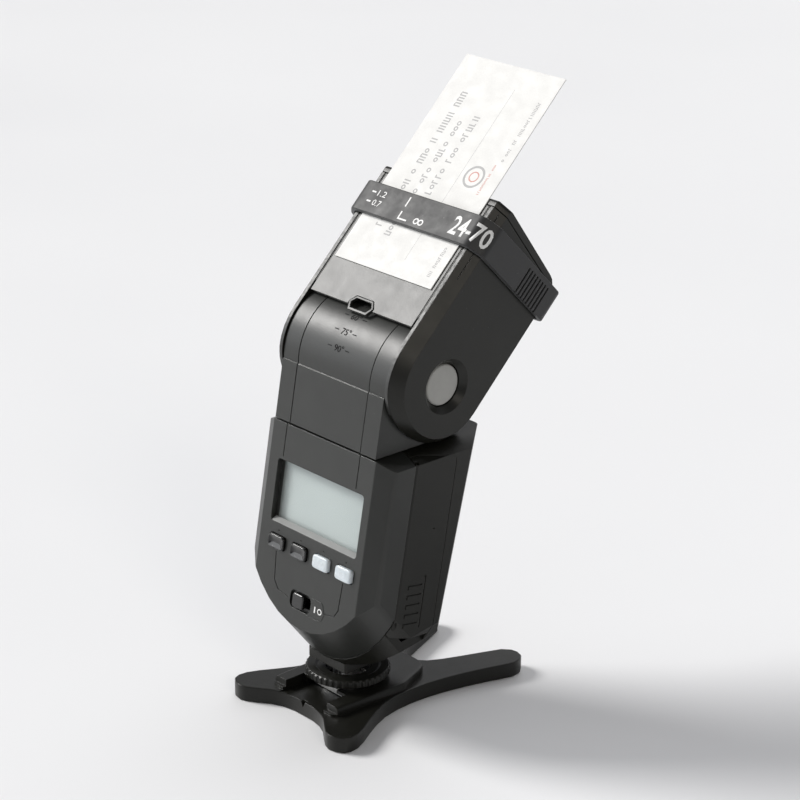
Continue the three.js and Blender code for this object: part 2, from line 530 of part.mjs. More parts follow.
// Ruled solid between two outlines of equal count at two stations along x.
function loft(a, b, xa, xb) {
  const n = a.length;
  const position = [];
  [[a, xa], [b, xb]].forEach(([pts, x]) => pts.forEach((p) => position.push(x, p.x, p.y)));
  const index = [];
  const flip = xb > xa;
  const tri = (i, j, k) => (flip ? index.push(i, j, k) : index.push(i, k, j));
  for (let i = 0; i < n; i += 1) {
    const j = (i + 1) % n;
    tri(i, j, n + j);
    tri(i, n + j, n + i);
  }
  THREE.ShapeUtils.triangulateShape(a, []).forEach(([i, j, k]) => tri(i, k, j));
  THREE.ShapeUtils.triangulateShape(b, []).forEach(([i, j, k]) => tri(n + i, n + j, n + k));
  const g = new THREE.BufferGeometry();
  g.setAttribute('position', new THREE.Float32BufferAttribute(position, 3));
  g.setIndex(index);
  return solid(g, HEAD);
}

{
  const rake = THREE.MathUtils.radToDeg(Math.atan2(HEAD_END - HEAD_END_LOW, HEAD_TOP - HEAD_BOTTOM));
  const noseFrame = chain(HEAD, move(0, HEAD_END_LOW, HEAD_BOTTOM), turnX(-rake));
  const noseBand = block([-60, 60], [-3.2, 20], [-20, 80], noseFrame);
  const hollow = [[29, -17.2, 2], [HEAD_END_LOW - 2, -17.2, 2], [HEAD_END - 2.5, 22.6, 2], [29, 22.6, 2]];
  const pinSocket = bar('x', 4.3, [-29.8, -20], [0, 0], HEAD, 24);
  const buttonBore = bar('x', 7.9, [20, 40], [0, 0], HEAD, 40);
  const dish = bar('x', 7.6, [29.9, HEAD_HALF + 0.01], [0, 0], HEAD, 40, 10.1);
  const cheeks = [[-1, 'left', [-30.6, -20], [pinSocket]], [1, 'right', [20, 30.6], [buttonBore, dish]]];
  cheeks.forEach(([s, side, span, bores]) => {
    const room = prism('x', rounded(hollow, 2), span, HEAD);
    add(`head_cheek_${side}`, cut(cheekForm(s), room, ...bores, noseBand), 'shell');
  });

  // Middle of the head between the cheeks.
  const middle = prism('x', headOutline(HEAD_TOP - 0.1, HEAD_TOP - 0.1, 21.5, CROWN_BOTTOM + 0.1, 0),
    [-CHEEK_IN + GAP, CHEEK_IN - GAP], HEAD);
  const drumWay = bar('x', DRUM_R + 0.6, [-60, 60], [0, 0], HEAD, 72);
  const topZone = block([-TOP_HALF, TOP_HALF], [TOP_START, 80], [22.7, 40], HEAD);
  const roomSide = [[27, -17.6, 2], [HEAD_END_LOW + 4, -17.6, 0], [HEAD_END + 4, 22.4, 0], [27, 22.4, 2]];
  const cavity = prism('x', rounded(roomSide, 2), [-25, 25], HEAD);
  const behind = block([-60, 60], [-60, 12], [-60, 60], HEAD);
  const cableSlot = block([-9, 9], [10, 32], [-6, 6], HEAD);
  const motorWell = bar('y', 2.2, [22.6, 30], [10, -14.9], HEAD, 20);
  const tub = cut(middle, drumWay, topZone, cavity, behind, cableSlot, motorWell, noseBand);
  add('head_tub', tub, 'shell');

  const lidHalf = TOP_HALF - GAP / 2;
  const lid = block([-lidHalf, lidHalf], [TOP_START, 61.2], [22.9, HEAD_TOP], HEAD);
  const angleWindow = [[-6.4, TOP_START - 3], [6.4, TOP_START - 3], [6.4, TOP_START + 1.2],
    [4.4, TOP_START + 3.8], [-4.4, TOP_START + 3.8], [-6.4, TOP_START + 1.2]];
  add('head_top_panel', cut(lid, noseBand, drumWay, prism('z', angleWindow, [10, 40], HEAD)), 'panel');

  // Front bezel carrying the lens.
  const nose = join(prism('x', CORE_SIDE, [-RIM_HALF, RIM_HALF], HEAD), cheekForm(1), cheekForm(-1));
  const noseFront = block([-60, 60], [-2.9, 20], [-20, 80], noseFrame);
  const lensHole = block([-26.5, 26.5], [-10, 20], [5.2, 39.6], noseFrame);
  add('front_bezel', cut(common(nose, noseFront), lensHole), 'shell');
  const ribs = [];
  for (let i = 0; i < 7; i += 1) {
    ribs.push(block([-25, 25], [-1.0, 2], [8.4 + i * 4.6, 9.4 + i * 4.6], noseFrame));
  }
  add('fresnel_lens', cut(block([-26.2, 26.2], [-2.8, -0.7], [5.5, 39.3], noseFrame), ...ribs), 'clear');

  // Tilt pivot pins and release button.
  add('tilt_pin_left', bar('x', 4.0, [-29.4, -18.6], [0, 0], HEAD, 24), 'steel');
  add('tilt_pin_right', bar('x', 4.0, [18.6, 24.9], [0, 0], HEAD, 24), 'steel');
  const face = [[0, 27.5], [7.3, 27.5], [7.55, 27.8], [7.55, 29.7], [7.2, 30.2], [6.4, 30.3], [0, 30.3]];
  add('tilt_release_button', turned(face, 40, chain(HEAD, turnY(90))), 'grey');

  // Zoom drive.
  [[-22.5, 'left'], [22.5, 'right']].forEach(([x, side]) => {
    add(`zoom_rail_${side}`, bar('y', 1.2, [27.4, 53.6], [x, -14.6], HEAD, 12), 'steel');
  });
  const sled = cut(block([-24.4, 24.4], [40.5, 45.5], [-16.8, -12.2], HEAD),
    ...[-1, 1].map((s) => bar('y', 1.5, [20, 60], [s * 22.5, -14.6], HEAD, 16)),
    bar('y', 1.35, [20, 60], [10, -14.9], HEAD, 16));
  const trough = [[47.4, -11.4], [46.7, -11.9], [35, -5.6], [32.6, 0.4], [32.6, 4.8], [35, 10.8],
    [46.7, 17.2], [47.4, 16.6], [36.3, 10], [34.2, 4.3], [34.2, 0.9], [36.3, -4.8]];
  const hull = prism('x', trough, [-23.6, 23.6], HEAD);
  const ends = [[-23.6, -22.8], [22.8, 23.6]].map((x) => (
    cut(prism('x', trough.slice(0, 8), x, HEAD), bar('x', 2.4, [-30, 30], [38.2, 2.6], HEAD, 16))));
  add('zoom_sled', sled, 'soft');
  add('flash_reflector', join(hull, ...ends), 'mirror');
  add('flash_tube', bar('x', 1.9, [-24.4, 24.4], [38.2, 2.6], HEAD, 20), 'clear');
  add('zoom_screw', bar('y', 1.1, [27.6, 53.4], [10, -14.9], HEAD, 16), 'steel');
  add('zoom_motor', bar('y', 1.8, [23.2, 27.3], [10, -14.9], HEAD, 20), 'steel');
}

// ---------------------------------------------------------------- elastic band and bounce card
{
  const wrap = (t) => {
    const [side, rim] = [HEAD_HALF + t, RIM_HALF + 0.2 + 0.3 * t];
    const [low, shoulder, top] = [CROWN_BOTTOM - 0.2 - t, CHAMFER_Z + 0.8 + 0.3 * t, HEAD_TOP + 0.6 + t];
    return rounded([[-side, low, 1 + t], [side, low, 1 + t], [side, shoulder, 2 + t], [rim, top, 2 + t],
      [-rim, top, 2 + t], [-side, shoulder, 2 + t]], 4);
  };
  const outerBand = prism('y', wrap(0.15 + BAND_T), BAND_U, HEAD, 0.5);
  const innerBand = prism('y', wrap(0.15), [BAND_U[0] - 5, BAND_U[1] + 5], HEAD);
  const grooves = [];
  for (let i = 0; i < 8; i += 1) {
    const v = -14.5 + 1.9 * i;
    [-1, 1].forEach((s) => {
      const x = s * (HEAD_HALF + 0.15 + BAND_T);
      grooves.push(block([x - 0.6, x + 0.6], [BAND_U[0] - 1, BAND_U[1] - 2.2], [v - 0.45, v + 0.45], HEAD));
    });
  }
  add('elastic_band', cut(outerBand, innerBand, ...grooves), 'band');
  add('bounce_card', block([-CARD[0] / 2, CARD[0] / 2], [CARD_START, CARD_START + CARD[1]],
    [HEAD_TOP + 0.1, HEAD_TOP + 0.1 + CARD[2]], HEAD), 'card');
}

export default group;
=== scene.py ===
"""Speedlight flash on a table stand: finishes, small details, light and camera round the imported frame.

Lengths are in mm in the frame they are named for, and mesh_of turns them into metres.
"""

import math
import random

import bmesh
import bpy
from mathutils import Matrix, Vector


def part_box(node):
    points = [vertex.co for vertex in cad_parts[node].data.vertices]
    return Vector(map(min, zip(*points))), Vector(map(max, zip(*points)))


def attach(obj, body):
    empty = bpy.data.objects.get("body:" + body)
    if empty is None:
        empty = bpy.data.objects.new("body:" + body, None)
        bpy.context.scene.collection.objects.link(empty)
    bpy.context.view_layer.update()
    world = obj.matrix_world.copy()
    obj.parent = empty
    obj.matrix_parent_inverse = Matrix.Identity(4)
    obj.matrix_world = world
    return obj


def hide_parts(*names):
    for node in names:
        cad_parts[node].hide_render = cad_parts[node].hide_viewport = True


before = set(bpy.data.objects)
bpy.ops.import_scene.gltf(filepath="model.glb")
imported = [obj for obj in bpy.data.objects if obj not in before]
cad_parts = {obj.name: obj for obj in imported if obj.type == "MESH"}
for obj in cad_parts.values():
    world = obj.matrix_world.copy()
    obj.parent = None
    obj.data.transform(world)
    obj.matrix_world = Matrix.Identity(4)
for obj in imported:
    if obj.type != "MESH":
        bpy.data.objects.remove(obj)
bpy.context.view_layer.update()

MM = 0.001
LEAN = 9.5  # the body leans forward off its upright foot, degrees
TILT = 45.0  # elevation of the head, degrees
PIVOT = Vector((0, 16.6, 128.6))  # tilt axis

# Body, in the leaning frame
PANEL_Y = -29.0  # plane of the control panel
WINDOW_Y = -26.72  # front of the display window
LCD_X, LCD_Z = (-22.6, 23.8), (66.1, 89.5)  # opening for the display
BUTTON_X, BUTTON_Z = (-17.3, -5.1, 7.3, 19.5), 59.2
SEAM_Y = -15.8  # split between the rear and front mouldings
WALL_X = -31.0  # just inside the side wall

# Head, with u along it and v up from the tilt axis
DRUM_R = 24.1
HEAD_TOP = 24.8
HEAD_HALF = 32.4
BAND_WALL = 0.15 + 1.9  # clearance and thickness of the band
BAND_TOP = HEAD_TOP + 0.6 + BAND_WALL
BAND_SIDE = HEAD_HALF + BAND_WALL
BAND_MIDDLE = 47.75  # station of the band along the head
BAND_R = 4.05  # corner radius of the band
CARD_TOP = HEAD_TOP + 0.1 + 0.4

BODY = Matrix.Rotation(math.radians(-LEAN), 4, "X")
HEAD = Matrix.Translation(PIVOT) @ Matrix.Rotation(math.radians(TILT), 4, "X")
DRUM = Matrix.Translation(PIVOT)

INK = 0.03  # thickness of ink on plastic
CARD_INK = 0.01
LIFT = 0.01  # gap under ink, so that it doesn't share a face with what it is on

scene = bpy.context.scene


# ------------------------------------------------------------------ material nodes
class Nodes:
    """A material's node tree, with short calls for the nodes used here."""

    def __init__(self, name):
        self.material = bpy.data.materials.new(name)
        self.material.use_nodes = True
        self.tree = self.material.node_tree
        self.shader = self.tree.nodes["Principled BSDF"]
        self.place = self.add("ShaderNodeTexCoord").outputs["Object"]

    def add(self, kind, **settings):
        node = self.tree.nodes.new(kind)
        for key, value in settings.items():
            setattr(node, key, value)
        return node

    def put(self, socket, value):
        if isinstance(value, bpy.types.NodeSocket):
            self.tree.links.new(value, socket)
        else:
            socket.default_value = value

    def noise(self, scale, detail=2.0, rough=0.5, place=None):
        node = self.add("ShaderNodeTexNoise")
        self.put(node.inputs["Vector"], place or self.place)
        node.inputs["Scale"].default_value = scale
        node.inputs["Detail"].default_value = detail
        node.inputs["Roughness"].default_value = rough
        return node.outputs["Fac"]

    def cells(self, scale):
        node = self.add("ShaderNodeTexVoronoi")
        self.put(node.inputs["Vector"], self.place)
        node.inputs["Scale"].default_value = scale
        return node.outputs["Distance"]

    def spread(self, value, low, high, to_low, to_high):
        node = self.add("ShaderNodeMapRange")
        for socket, v in zip(node.inputs, (value, low, high, to_low, to_high)):
            self.put(socket, v)
        return node.outputs["Result"]

    def math(self, operation, a, b=0.0):
        node = self.add("ShaderNodeMath", operation=operation)
        self.put(node.inputs[0], a)
        self.put(node.inputs[1], b)
        return node.outputs[0]

    def mix(self, factor, a, b):
        node = self.add("ShaderNodeMix", data_type="RGBA")
        self.put(node.inputs["Factor"], factor)
        self.put(node.inputs[6], a)
        self.put(node.inputs[7], b)
        return node.outputs[2]

    def stretch(self, x, y, z):
        node = self.add("ShaderNodeMapping")
        self.put(node.inputs["Vector"], self.place)
        node.inputs["Scale"].default_value = (x, y, z)
        return node.outputs["Vector"]

    def axis(self, name):
        node = self.add("ShaderNodeSeparateXYZ")
        self.put(node.inputs[0], self.place)
        return node.outputs[name]

    def bump(self, height, distance, under=None):
        """Relief of a height over a distance in metres, on top of other normals."""
        node = self.add("ShaderNodeBump")
        node.inputs["Strength"].default_value = 1.0
        node.inputs["Distance"].default_value = distance
        self.put(node.inputs["Height"], height)
        if under is not None:
            self.put(node.inputs["Normal"], under)
        return node.outputs["Normal"]

    def eased(self, radius):
        """Normals rounded over a small edge radius, in metres."""
        node = self.add("ShaderNodeBevel", samples=4)
        node.inputs["Radius"].default_value = radius
        return node.outputs["Normal"]

    def edges(self, radius, low, high):
        """1 on edges and 0 on flats, from how far the rounded normal leans away."""
        dot = self.add("ShaderNodeVectorMath", operation="DOT_PRODUCT")
        self.put(dot.inputs[0], self.eased(radius))
        self.put(dot.inputs[1], self.add("ShaderNodeNewGeometry").outputs["Normal"])
        return self.spread(dot.outputs["Value"], high, low, 0.0, 1.0)

    def set(self, **values):
        """Sets the shader's own sockets and returns the material."""
        for key, value in values.items():
            self.put(self.shader.inputs[key.replace("_", " ")], value)
        return self.material


def rgb(r, g, b, gain=1.0):
    return (r * gain, g * gain, b * gain, 1.0)


def moulded(name, base, rough, grain=2600, depth=2.4e-5, edge_wear_and_highlight=0.35, dust=0.5, shine=0.3):
    """Spark-eroded injection moulding: fine grain, slight mottle, polished edges that wear and a painted
    highlight lighten, and a little dust.
    """
    n = Nodes(name)
    mottle = n.spread(n.noise(70, 4.0, 0.6), 0.3, 0.7, 0.0, 1.0)
    colour = n.mix(mottle, rgb(*base, 0.88), rgb(*base, 1.12))
    broken = n.spread(n.noise(420, 3.0), 0.35, 0.65, 0.45, 1.0)
    # Edges lightened in colour: partly wear, partly a painted highlight along every edge.
    edge = n.math("MULTIPLY", n.edges(0.00035, 0.8, 0.995), broken)
    colour = n.mix(n.math("MULTIPLY", edge, edge_wear_and_highlight), colour, rgb(*base, 2.6))
    dusty = n.spread(n.noise(45, 2.0), 0.5, 0.62, 0.0, dust)
    speck = n.math("MULTIPLY", n.spread(n.cells(520), 0.05, 0.02, 0.0, 1.0), dusty)
    colour = n.mix(speck, colour, (0.3, 0.3, 0.29, 1.0))
    smear = n.spread(n.noise(160, 3.0, 0.65), 0.3, 0.7, -0.02, 0.025)
    polish = n.math("MULTIPLY", edge, -0.14)
    roughness = n.math("ADD", n.math("ADD", smear, polish), rough)
    grained = n.bump(n.noise(grain, 3.0, 0.7), depth, n.eased(0.00022))
    return n.set(Base_Color=colour, Roughness=roughness, Normal=grained, Specular_IOR_Level=shine)


def glossy(name, base, rough, coat, ease_by=0.0003, scratched=4e-6):
    """Polished moulding with faint flow marks and fine hairline scratches."""
    n = Nodes(name)
    flow = n.spread(n.noise(55, 3.0, 0.55), 0.35, 0.65, 0.0, 1.0)
    scratch = n.noise(900, 2.0, 0.6, n.stretch(1.0, 1.0, 0.06))
    colour = n.mix(flow, rgb(*base, 0.9), rgb(*base, 1.1))
    roughness = n.spread(scratch, 0.35, 0.7, rough, rough + 0.14)
    scratches = n.bump(scratch, scratched, n.eased(ease_by))
    n.set(Coat_Weight=coat, Coat_Roughness=0.06)
    return n.set(Base_Color=colour, Roughness=roughness, Normal=scratches)


def milky(name):
    """Translucent white button: scattering body under a soft gloss."""
    n = Nodes(name)
    cloud = n.noise(210, 4.0, 0.6)
    whites = (0.5, 0.55, 0.58, 1), (0.62, 0.67, 0.7, 1)
    colour = n.mix(n.spread(cloud, 0.3, 0.7, 0.0, 1.0), *whites)
    roughness = n.spread(n.noise(500, 2.0), 0.3, 0.7, 0.22, 0.34)
    n.set(Subsurface_Weight=0.35, Subsurface_Radius=(0.0012, 0.0014, 0.0016))
    n.set(Coat_Weight=0.4, Coat_Roughness=0.12)
    return n.set(Base_Color=colour, Roughness=roughness, Normal=n.bump(cloud, 1e-5, n.eased(0.0004)))


def metal(name, base, rough, along=(1.0, 1.0, 0.08), tarnish=0.25):
    """Drawn or rolled metal: brushed lines one way and patches of tarnish."""
    n = Nodes(name)
    line = n.noise(2400, 2.0, 0.6, n.stretch(*along))
    patch = n.noise(130, 4.0, 0.6)
    colour = n.mix(n.spread(patch, 0.45, 0.75, 0.0, tarnish), rgb(*base), rgb(*base, 0.5))
    brushed = n.spread(line, 0.3, 0.7, rough - 0.06, rough + 0.1)
    roughness = n.math("ADD", brushed, n.spread(patch, 0.4, 0.8, 0.0, 0.12))
    lines = n.bump(line, 5e-6, n.eased(0.00015))
    return n.set(Base_Color=colour, Roughness=roughness, Normal=lines, Metallic=1.0)


def pane(name, base, alpha, rough=0.04):
    """Clear pane, slightly uneven, with what is behind it showing through."""
    n = Nodes(name)
    wave = n.noise(60, 2.0)
    n.set(Alpha=alpha, Specular_IOR_Level=0.8)
    roughness = n.spread(n.noise(300, 3.0), 0.3, 0.7, rough, rough + 0.05)
    colour = n.mix(n.spread(wave, 0.35, 0.65, 0.0, 1.0), rgb(*base, 0.94), rgb(*base, 1.04))
    return n.set(Base_Color=colour, Roughness=roughness, Normal=n.bump(wave, 6e-6))


def display(name):
    """Unlit reflective display: pale grey-green with painted shade that darkens it towards its upper
    edge, and a faint mesh.
    """
    n = Nodes(name)
    low, high = (v.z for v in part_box("lcd_module"))
    # Painted shade: the colour darkens from the lower to the upper edge of the display.
    shade_to_top = n.spread(n.axis("Z"), low, high, 0.0, 1.0)
    colour = n.mix(shade_to_top, (0.46, 0.52, 0.51, 1), (0.38, 0.44, 0.435, 1))
    cloud = n.spread(n.noise(40, 3.0), 0.35, 0.65, 0.0, 0.35)
    colour = n.mix(cloud, colour, (0.5, 0.56, 0.545, 1))
    grid = n.add("ShaderNodeTexWave", wave_type="BANDS", bands_direction="X")
    n.put(grid.inputs["Vector"], n.place)
    grid.inputs["Scale"].default_value = 620
    colour = n.mix(n.spread(grid.outputs["Fac"], 0.0, 1.0, 0.0, 0.05), colour, (0.2, 0.24, 0.22, 1))
    roughness = n.spread(n.noise(700, 2.0), 0.3, 0.7, 0.3, 0.42)
    return n.set(Base_Color=colour, Roughness=roughness, Coat_Weight=0.5, Coat_Roughness=0.08)


def paper(name):
    """Coated card: faint fibre and a slight cockle."""
    n = Nodes(name)
    fibre = n.noise(1400, 5.0, 0.7)
    whites = (0.69, 0.687, 0.668, 1), (0.74, 0.737, 0.72, 1)
    colour = n.mix(n.spread(fibre, 0.3, 0.7, 0.0, 1.0), *whites)
    roughness = n.spread(n.noise(220, 3.0), 0.3, 0.7, 0.5, 0.68)
    surface = n.bump(fibre, 8e-6, n.bump(n.noise(24, 2.0), 1.2e-5))
    return n.set(Base_Color=colour, Roughness=roughness, Normal=surface, Sheen_Weight=0.1)


def elastic(name):
    """Silicone band: smooth, a little bloom, lint held on the surface."""
    n = Nodes(name)
    bloom = n.noise(150, 4.0, 0.65)
    blacks = (0.011, 0.0115, 0.012, 1), (0.021, 0.021, 0.0215, 1)
    colour = n.mix(n.spread(bloom, 0.35, 0.7, 0.0, 1.0), *blacks)
    lint = n.spread(n.noise(900, 2.0, 0.5, n.stretch(1.0, 0.12, 1.0)), 0.71, 0.75, 0.0, 0.35)
    colour = n.mix(lint, colour, (0.22, 0.22, 0.22, 1))
    roughness = n.spread(bloom, 0.3, 0.7, 0.46, 0.6)
    skin = n.bump(n.noise(1500, 3.0), 1.2e-5, n.eased(0.0004))
    n.set(Sheen_Weight=0.22, Sheen_Roughness=0.4)
    return n.set(Base_Color=colour, Roughness=roughness, Normal=skin)


def board(name):
    """Solder-masked circuit board with traces."""
    n = Nodes(name)
    trace = n.spread(n.cells(330), 0.16, 0.2, 1.0, 0.0)
    colour = n.mix(trace, (0.012, 0.1, 0.04, 1), (0.03, 0.2, 0.08, 1))
    colour = n.mix(n.spread(n.cells(170), 0.07, 0.06, 0.0, 1.0), colour, (0.75, 0.72, 0.66, 1))
    roughness = n.spread(n.noise(300), 0.3, 0.7, 0.3, 0.45)
    return n.set(Base_Color=colour, Roughness=roughness, Normal=n.bump(trace, 3e-5), Coat_Weight=0.3)


def wrapped(name, first, second, at, band=0.001):
    """Shrink sleeve in two colours that meet at a station along x, with a thin pale line between."""
    n = Nodes(name)
    x = n.axis("X")
    colour = n.mix(n.spread(x, at, at + 1e-4, 0.0, 1.0), rgb(*first), rgb(*second))
    line = n.math("LESS_THAN", n.math("ABSOLUTE", n.math("SUBTRACT", x, at)), band / 2)
    colour = n.mix(line, colour, (0.75, 0.75, 0.72, 1))
    colour = n.mix(n.spread(n.noise(200, 4.0), 0.4, 0.7, 0.0, 0.25), colour, rgb(*second, 0.4))
    crease = n.noise(500, 3.0, 0.5, n.stretch(0.2, 1.0, 1.0))
    roughness = n.spread(crease, 0.3, 0.7, 0.2, 0.36)
    return n.set(Base_Color=colour, Roughness=roughness, Normal=n.bump(crease, 1.5e-5))


def ink(name, base, rough=0.45):
    """Pad-printed ink with slightly uneven cover."""
    n = Nodes(name)
    cover = n.noise(1800, 3.0, 0.7)
    colour = n.mix(n.spread(cover, 0.3, 0.75, 0.0, 1.0), rgb(*base), rgb(*base, 0.82))
    roughness = n.spread(cover, 0.3, 0.7, rough, rough + 0.12)
    return n.set(Base_Color=colour, Roughness=roughness, Normal=n.bump(cover, 4e-6))


COPPER, CELL_BLACK = (0.55, 0.3, 0.05), (0.02, 0.02, 0.021)

FINISH = {
    "shell": moulded("shell_plastic", (0.0098, 0.0099, 0.0078), 0.33, edge_wear_and_highlight=0.6),
    "panel": moulded("panel_plastic", (0.0205, 0.0216, 0.0196), 0.36, edge_wear_and_highlight=0.6, shine=0.42),
    "stand": moulded("stand_plastic", (0.0088, 0.0089, 0.0072), 0.33, grain=1500, depth=3.5e-5,
                     edge_wear_and_highlight=0.3, dust=0.8),
    "inner": moulded("inner_plastic", (0.03, 0.031, 0.032), 0.6, edge_wear_and_highlight=0.1, dust=0.0),
    "gloss": glossy("gloss_black_plastic", (0.004, 0.0042, 0.0042), 0.1, 0.15),
    "milky": milky("milky_button_plastic"),
    "rim": glossy("polished_rim_plastic", (0.028, 0.0285, 0.027), 0.36, 0.0, 0.00002, 1e-6),
    # Pale grey ledge: a painted highlight on the lower bevel of the display opening.
    "ledge": glossy("ledge_painted_highlight", (0.3, 0.305, 0.3), 0.3, 0.3, 0.0001, 1e-7),
    "grey": moulded("light_grey_plastic", (0.33, 0.33, 0.315), 0.42, depth=1.4e-5, edge_wear_and_highlight=0.1,
                    dust=0.15),
    "steel": metal("plated_steel", (0.6, 0.6, 0.59), 0.3),
    "brass": metal("brass", (0.78, 0.58, 0.27), 0.3),
    "mirror": metal("bright_aluminium", (0.88, 0.88, 0.87), 0.1, along=(0.06, 1.0, 1.0),
                    tarnish=0.05),
    "lcd": display("display_glass"),
    "window": pane("display_window", (0.7, 0.75, 0.74), 0.12),
    "lens": pane("lens_plastic", (0.75, 0.79, 0.8), 0.42, 0.1),
    "tube": pane("tube_glass", (0.8, 0.82, 0.8), 0.5, 0.03),
    "lamp": glossy("dark_red_window", (0.05, 0.0035, 0.004), 0.05, 1.0),
    "board": board("circuit_board"),
    "sleeve": wrapped("capacitor_sleeve", (0.03, 0.035, 0.045), (0.02, 0.024, 0.032), 0.012),
    "cell_a": wrapped("cell_sleeve_left_cap", COPPER, CELL_BLACK, -0.008),
    "cell_b": wrapped("cell_sleeve_right_cap", CELL_BLACK, COPPER, 0.012),
    "card": paper("coated_card"),
    "band": elastic("silicone_band"),
    "white_ink": ink("white_ink", (0.84, 0.84, 0.83)),
    "black_ink": ink("black_ink", (0.006, 0.006, 0.006), 0.85),
    "grey_ink": ink("grey_ink", (0.36, 0.36, 0.36)),
    "rust_ink": ink("rust_ink", (0.56, 0.24, 0.2)),
}

# Finish and edge radius of the CAD nodes. A radius of 0 leaves the edges as they are.
NODE_FINISH = [
    ("stand", 0.35, ["stand_base"]),
    ("brass", 0.1, ["stand_tripod_insert", *(f"shoe_contact_{i}" for i in range(1, 6))]),
    ("steel", 0.12, ["shoe_plate", "lock_pin", "door_hinge_pin", "cell_strap_lower",
                     "cell_strap_upper", "door_contact_plate", "swivel_retaining_ring",
                     "tilt_pin_left", "tilt_pin_right", "zoom_rail_left", "zoom_rail_right",
                     "zoom_screw", "zoom_motor"]),
    ("shell", 0.2, ["front_shell", "foot_block", "head_cheek_left", "head_cheek_right",
                    "head_tub", "front_bezel", "lock_wheel"]),
    ("shell", 0, ["battery_door"]),
    ("panel", 0.2, ["rear_shell", "neck_housing", "neck_back_cover", "head_top_panel"]),
    ("inner", 0.2, ["battery_tray", "zoom_sled"]),
    ("gloss", 0.2, ["panel_button_1", "panel_button_2", "power_slider"]),
    ("milky", 0.2, ["panel_button_3", "panel_button_4"]),
    ("grey", 0.15, ["tilt_release_button"]),
    ("lcd", 0.1, ["lcd_module"]),
    ("window", 0.1, ["lcd_window"]),
    ("lens", 0.1, ["fresnel_lens"]),
    ("tube", 0.1, ["flash_tube"]),
    ("lamp", 0.2, ["focus_lamp_window"]),
    ("board", 0.1, ["main_board"]),
    ("sleeve", 0.2, ["main_capacitor"]),
    ("cell_a", 0.1, ["battery_cell_1", "battery_cell_3"]),
    ("cell_b", 0.1, ["battery_cell_2", "battery_cell_4"]),
    ("mirror", 0.05, ["flash_reflector"]),
    ("band", 0.25, ["elastic_band"]),
    ("card", 0.03, ["bounce_card"]),
]


# ------------------------------------------------------------------ shading of faceted solids
def edge_shading():
    """Node group: drops stored normals, then shades smooth except over sharp edges."""
    group = bpy.data.node_groups.new("edge_shading", "GeometryNodeTree")
    group.interface.new_socket("Geometry", in_out="INPUT", socket_type="NodeSocketGeometry")
    group.interface.new_socket("Geometry", in_out="OUTPUT", socket_type="NodeSocketGeometry")
    nodes, link = group.nodes, group.links.new
    start, end = nodes.new("NodeGroupInput"), nodes.new("NodeGroupOutput")
    angle = nodes.new("GeometryNodeInputMeshEdgeAngle")
    sharp = nodes.new("FunctionNodeCompare")
    sharp.inputs[1].default_value = math.radians(30)
    shade = nodes.new("GeometryNodeSetMeshNormal")
    shade.inputs["Remove Custom"].default_value = True
    link(angle.outputs["Unsigned Angle"], sharp.inputs[0])
    link(start.outputs[0], shade.inputs["Mesh"])
    link(sharp.outputs[0], shade.inputs["Edge Sharpness"])
    link(shade.outputs[0], end.inputs[0])
    return group


SHADING = edge_shading()


def ease(obj, radius, segments=2):
    """Welds a faceted solid, rounds its sharp edges by a small radius and shades it by angle."""
    obj.modifiers.new("weld", "WELD").merge_threshold = 2e-6
    if radius:
        flat = obj.modifiers.new("flat", "DECIMATE")
        flat.decimate_type = "DISSOLVE"
        flat.angle_limit = math.radians(0.4)
        rounding = obj.modifiers.new("rounding", "BEVEL")
        rounding.width = radius * MM
        rounding.segments = segments
        rounding.limit_method = "ANGLE"
        rounding.angle_limit = math.radians(38)
        rounding.miter_outer = "MITER_ARC"
    obj.modifiers.new("shading", "NODES").node_group = SHADING
    if radius:
        level = obj.modifiers.new("level", "WEIGHTED_NORMAL")
        level.keep_sharp = True
        level.weight = 80


for finish, radius, names in NODE_FINISH:
    for name in names:
        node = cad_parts[name]
        for material_slot in node.material_slots:
            material_slot.material = FINISH[finish]
        ease(node, radius)


# ------------------------------------------------------------------ making of details
def piece(name, bm, placing, body, finish):
    """Closes a bmesh drawn in one of the frames into an object that rides on a body."""
    mesh = mesh_of(name, bm, placing)
    mesh.materials.append(FINISH[finish])
    obj = bpy.data.objects.new(name, mesh)
    scene.collection.objects.link(obj)
    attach(obj, body)
    return obj


def mesh_of(name, bm, placing):
    """Turns a bmesh in mm into a placed mesh in metres."""
    bmesh.ops.transform(bm, matrix=Matrix.Scale(MM, 4) @ placing, verts=bm.verts)
    bmesh.ops.recalc_face_normals(bm, faces=bm.faces)
    mesh = bpy.data.meshes.new(name)
    bm.to_mesh(mesh)
    bm.free()
    return mesh


def tube(bm, rings):
    """Joins closed rings of vertices, each to the next, with quads."""
    count = len(rings[0])
    for i in range(count):
        j = (i + 1) % count
        for one, two in zip(rings, rings[1:]):
            bm.faces.new((one[i], one[j], two[j], two[i]))


def capped(bm, rings):
    """Joins rings and closes both ends."""
    tube(bm, rings)
    bm.faces.new(rings[0][::-1])
    bm.faces.new(rings[-1])


def slab(bm, outline, thick, wrap):
    """Adds a thin slab over a convex outline; wrap turns (a, b, height) into a point."""
    capped(bm, [[bm.verts.new(wrap(a, b, h)) for a, b in outline] for h in (0.0, thick)])


def bar(a0, b0, a1, b1):
    return [(a0, b0), (a1, b0), (a1, b1), (a0, b1)]


def ring(bm, centre, outer, inner, thick, wrap, steps):
    """Adds a flat ring as short slabs."""
    angles = [2 * math.pi * i / steps for i in range(steps + 1)]
    near, far = ([(centre[0] + r * math.cos(t), centre[1] + r * math.sin(t)) for t in angles]
                 for r in (inner, outer))
    for i in range(steps):
        slab(bm, [near[i], far[i], far[i + 1], near[i + 1]], thick, wrap)


